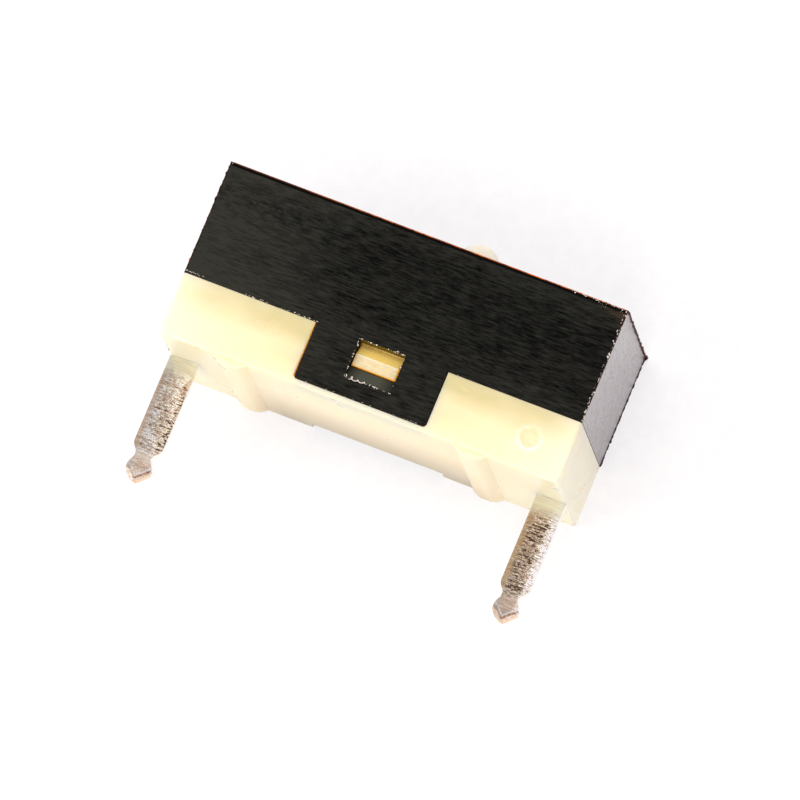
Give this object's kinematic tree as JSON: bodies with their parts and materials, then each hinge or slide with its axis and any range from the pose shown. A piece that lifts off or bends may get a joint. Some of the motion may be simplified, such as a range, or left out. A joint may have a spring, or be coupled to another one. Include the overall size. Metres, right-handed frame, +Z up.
{
  "type": "microswitch",
  "caption": "Miniature snap-action microswitch with a domed plunger button on top and flat solder pins below, for mounting on a circuit board.",
  "frame": {"origin": "on the circuit board's top face, which the ridges under the base rest on, below the middle of the case", "axes": "+Z up through the case to the button, +X along the case from the common pin to the contact pin, -Y at the front with the latch and dimple"},
  "size_m": [0.0128, 0.0058, 0.0105],
  "materials": {
    "base": "moulded translucent cream plastic",
    "cover": "moulded black plastic",
    "button": "moulded cream plastic",
    "terminal": "tin plated brass strip with bare cut ends",
    "spring": "beryllium copper strip",
    "contact": "silver"
  },
  "bodies": {
    "housing": {"cover": "cover", "base": "base", "common_terminal": "terminal", "contact_terminal": "terminal", "fixed_contact": "contact", "rest_stop": "terminal"},
    "plunger": {"button": "button"},
    "blade": {"snap_blade": "spring", "moving_contact": "contact"}
  },
  "joints": [
    {"name": "button_press", "type": "slide", "parent": "housing", "child": "plunger", "axis": [0, 0, -1], "range_m": [0, 0.0005], "stiffness_N_per_m": 1000, "springref_m": -0.0002},
    {"name": "blade_rock", "type": "hinge", "parent": "housing", "child": "blade", "pos_m": [-0.00512, 0, 0.0044], "axis": [0, 1, 0], "range_deg": [0, 4.6]}
  ],
  "couplings": [
    {"joint": "blade_rock", "follows": "button_press", "rad_per_m": 159.66}
  ]
}
